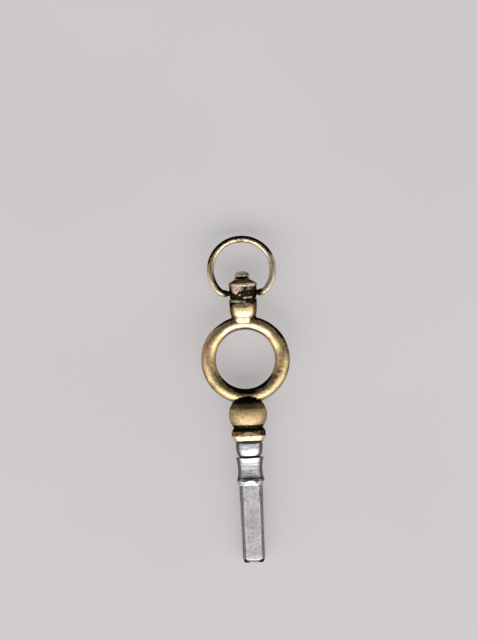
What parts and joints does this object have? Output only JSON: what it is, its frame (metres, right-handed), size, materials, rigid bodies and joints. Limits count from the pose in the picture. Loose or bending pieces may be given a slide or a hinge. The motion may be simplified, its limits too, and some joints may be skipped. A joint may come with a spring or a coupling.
{
  "type": "pocket watch key",
  "caption": "Pocket watch winding key: square-socketed steel pipe, brass ball and flatted collar, round finger ring, and a pendant ring on a swivel.",
  "frame": {"origin": "centre of the winding pipe's mouth, on the key's axis", "axes": "+Y along the key from the mouth towards the pendant ring, +X across the finger ring, +Z normal to the finger ring's flat side, up when the key lies down"},
  "size_m": [0.0112, 0.0415, 0.0048],
  "materials": {
    "steel": "grey polished steel, finely pitted",
    "brass": "worn yellow brass, satin",
    "dark_brass": "grimy worn brass",
    "ring_brass": "drawn brass wire, satin"
  },
  "bodies": {
    "handle": {"pipe": "steel", "knop": "brass", "finger_ring": "brass", "neck": "brass", "swivel_washer": "dark_brass", "rivet_washer": "dark_brass", "swivel_pin": "dark_brass"},
    "swivel": {"swivel_barrel": "dark_brass"},
    "pendant": {"pendant_ring": "ring_brass"}
  },
  "joints": [
    {"name": "swivel_spin", "type": "hinge", "parent": "handle", "child": "swivel", "pos_m": [0, 0.0347, 0], "axis": [0, 1, 0], "continuous": true},
    {"name": "ring_swing", "type": "hinge", "parent": "swivel", "child": "pendant", "pos_m": [0, 0.03425, 0], "axis": [1, 0, 0], "range_deg": [-119, 141]}
  ]
}
